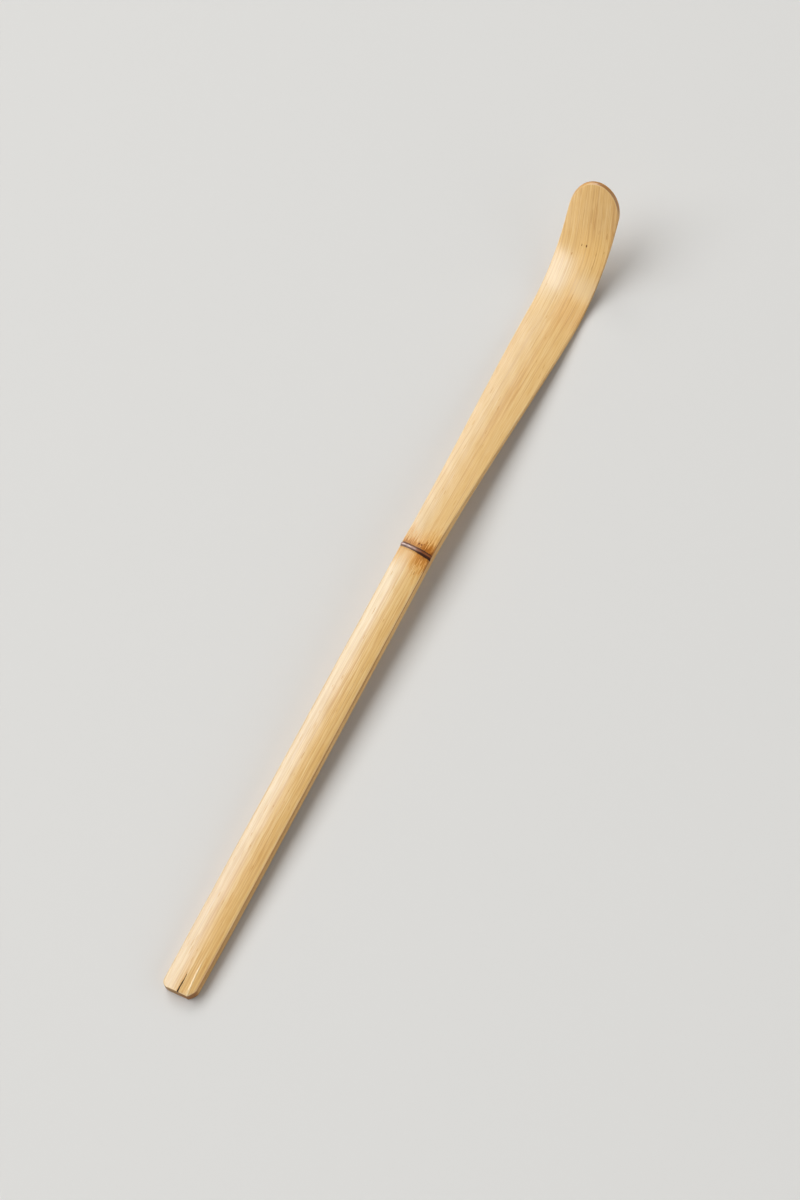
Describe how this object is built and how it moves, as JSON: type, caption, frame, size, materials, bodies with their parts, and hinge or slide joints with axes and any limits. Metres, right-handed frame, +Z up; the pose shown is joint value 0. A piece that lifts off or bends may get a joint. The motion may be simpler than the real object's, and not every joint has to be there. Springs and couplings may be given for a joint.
{
  "type": "tea scoop",
  "caption": "Slender bamboo tea scoop: a flat stem widens to a bent, round-ended tip, with a dark node ring at mid-length and a slim handle, for spooning powdered tea.",
  "frame": {"origin": "on the surface the scoop rests on, under the middle of its length", "axes": "+X from the cut end to the tip, +Y to the left, +Z up"},
  "size_m": [0.1752, 0.0102, 0.019],
  "materials": {
    "culm_wall": "knife-pared bamboo wall, satin, fine fibres along the stick",
    "rind": "smoothed bamboo rind, satin sheen, fine straight grain",
    "stained_node": "bamboo stained orange-brown by age, satin",
    "scar": "dark purple-brown sheath scar, waxy sheen",
    "septum": "pale pared cross-wall, dull"
  },
  "bodies": {
    "root": {"scoop_head": "culm_wall", "upper_stem": "culm_wall", "node_core": "culm_wall", "handle": "culm_wall", "upper_rind": "rind", "lower_rind": "rind", "node_ridge": "stained_node", "sheath_scar": "scar", "septum_stub": "septum"}
  },
  "joints": []
}
